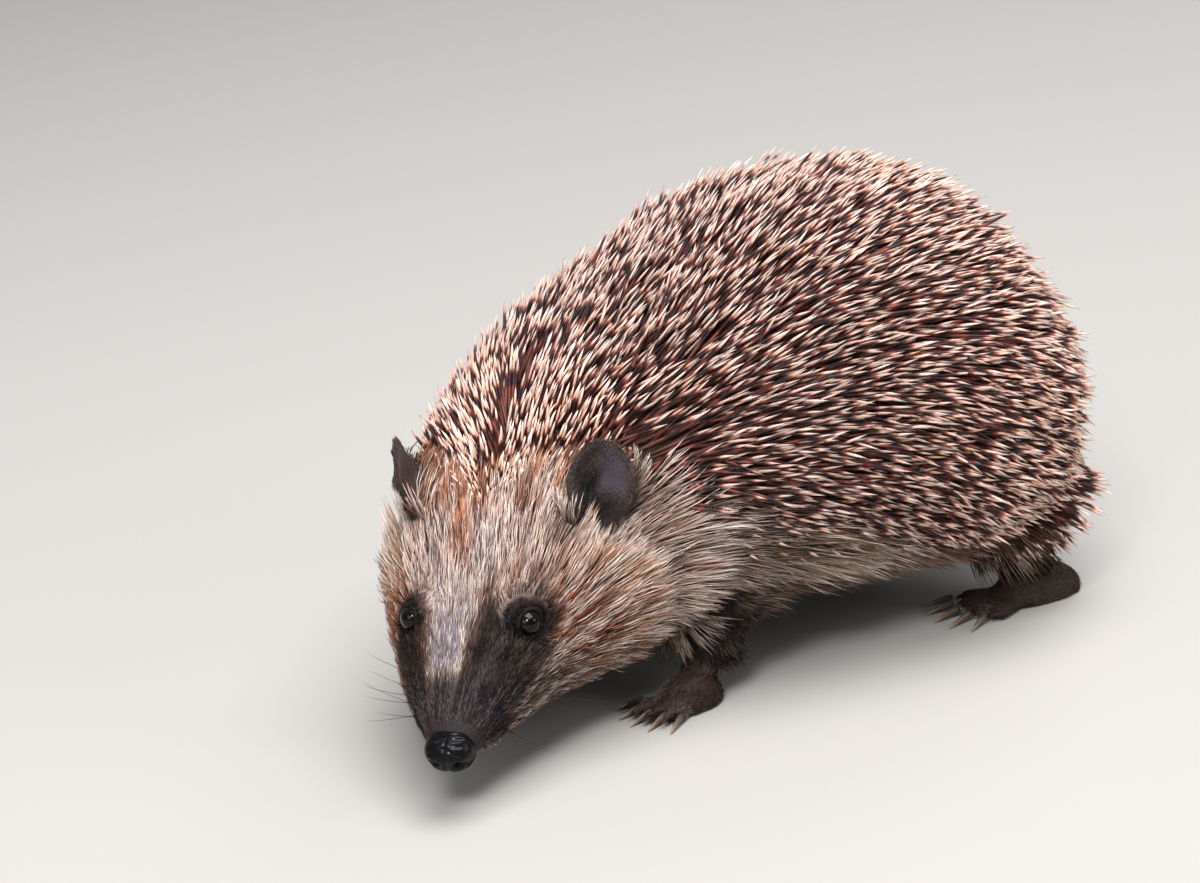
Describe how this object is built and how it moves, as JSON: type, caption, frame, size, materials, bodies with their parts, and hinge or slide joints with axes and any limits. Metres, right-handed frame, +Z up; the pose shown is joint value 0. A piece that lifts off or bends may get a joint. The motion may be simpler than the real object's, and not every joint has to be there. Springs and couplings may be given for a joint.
{
  "type": "hedgehog",
  "caption": "Life-size still model of a hedgehog standing with its head lowered and turned aside, spined over the back and furred on the face, flanks and legs.",
  "frame": {"origin": "on the floor, in the middle of the outline's box", "axes": "+Z up, the animal faces -Y, its own left side is +X"},
  "size_m": [0.131, 0.2214, 0.1196],
  "materials": {
    "spine_coat": "banded stiff spines, satin",
    "fur": "coarse soft fur, matt",
    "dark_fur": "short dark fur, matt",
    "nose_leather": "bare, wet, glossy",
    "eye": "polished, nearly black",
    "ear_skin": "thin skin with very short hairs, satin",
    "foot_skin": "thinly haired skin with horn claws, satin"
  },
  "bodies": {
    "root": {"trunk": "spine_coat", "neck": "spine_coat", "head": "fur", "muzzle": "dark_fur", "lower_jaw": "fur", "nose": "nose_leather", "eye_left": "eye", "eye_right": "eye", "ear_left": "ear_skin", "ear_right": "ear_skin", "tail": "dark_fur", "foreleg_left": "dark_fur", "forefoot_left": "foot_skin", "foreleg_right": "dark_fur", "forefoot_right": "foot_skin", "hindleg_left": "dark_fur", "hindfoot_left": "foot_skin", "hindleg_right": "dark_fur", "hindfoot_right": "foot_skin"}
  },
  "joints": []
}
